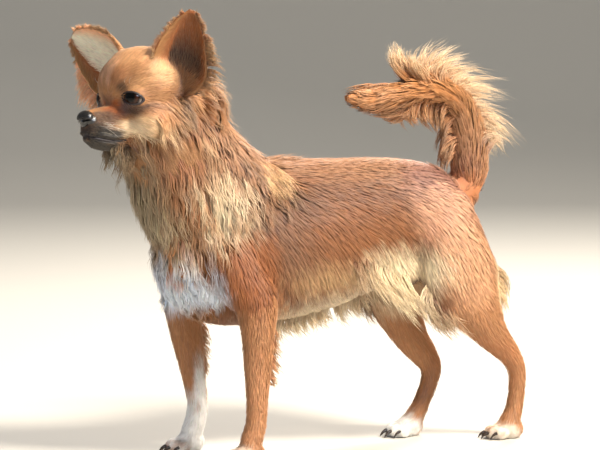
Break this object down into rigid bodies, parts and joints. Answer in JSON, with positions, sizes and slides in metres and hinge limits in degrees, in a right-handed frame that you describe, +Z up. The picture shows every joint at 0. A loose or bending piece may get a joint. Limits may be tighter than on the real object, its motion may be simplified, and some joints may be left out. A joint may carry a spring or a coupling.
{
  "type": "long-haired chihuahua dog, standing",
  "caption": "Still life-size model of a long-haired chihuahua standing square, head turned to its left and plumed tail curled over the back.",
  "frame": {"origin": "under the middle of the model's box, on the level the soles stand on", "axes": "-X towards the chest and face, +X towards the tail; -Y to the dog's left; +Z up"},
  "size_m": [0.3882, 0.1254, 0.339],
  "materials": {
    "coat": "soft red-fawn hair with cream and white",
    "nose_leather": "moist black skin",
    "eye": "wet dark brown"
  },
  "bodies": {
    "root": {"head": "coat", "nose": "nose_leather", "eye_left": "eye", "eye_right": "eye", "ear_left": "coat", "ear_right": "coat", "neck": "coat", "torso": "coat", "tail_root": "coat", "tail_curve": "coat", "tail_tip": "coat", "foreleg_left": "coat", "foreleg_right": "coat", "forepaw_left": "coat", "forepaw_right": "coat", "thigh_left": "coat", "thigh_right": "coat", "shank_left": "coat", "shank_right": "coat", "hindpaw_left": "coat", "hindpaw_right": "coat"}
  },
  "joints": []
}
